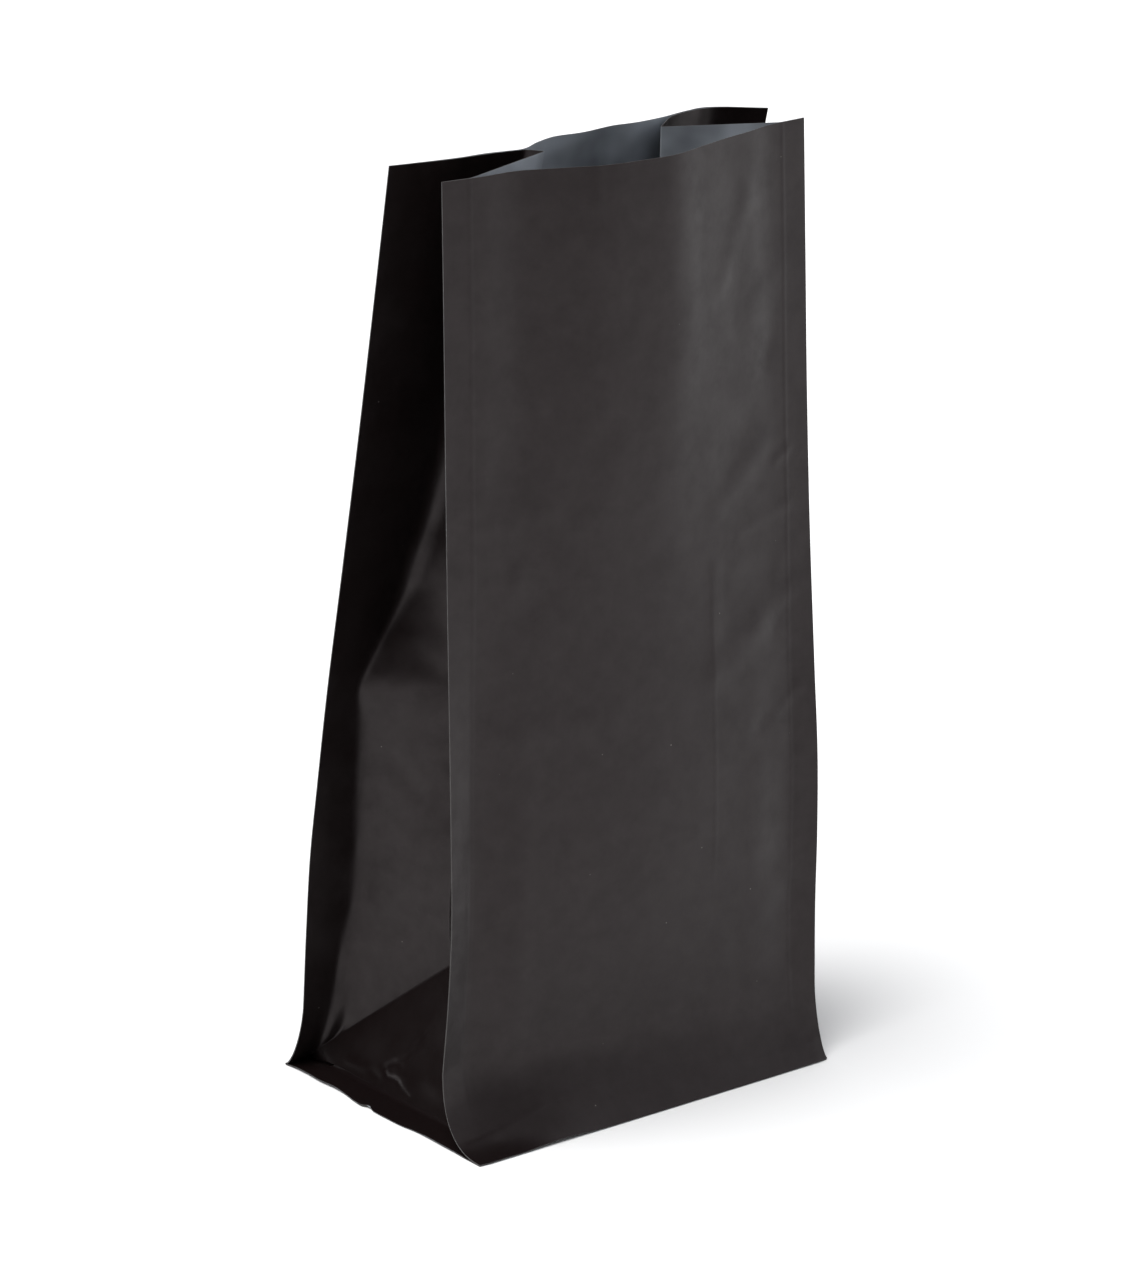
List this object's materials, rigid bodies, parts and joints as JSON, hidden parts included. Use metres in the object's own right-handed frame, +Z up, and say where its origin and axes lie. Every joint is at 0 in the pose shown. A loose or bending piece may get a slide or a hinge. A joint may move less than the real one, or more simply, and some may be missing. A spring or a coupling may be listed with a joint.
{
  "type": "block bottom bag",
  "caption": "Tall film bag with a flat block bottom, side gussets folded inwards and sealed corner fins, standing open and empty.",
  "frame": {"origin": "on the floor, under the middle of the bag's footprint", "axes": "+Z up to the rim, -Y out of the front panel, +X to the right seen from the front"},
  "size_m": [0.1402, 0.1023, 0.304],
  "materials": {
    "film": "matt black laminate film with a satin sheen, silver-grey metallised inside"
  },
  "bodies": {
    "root": {"front_panel": "film", "back_panel": "film", "gusset_left": "film", "gusset_right": "film", "bottom_panel": "film"}
  },
  "joints": []
}
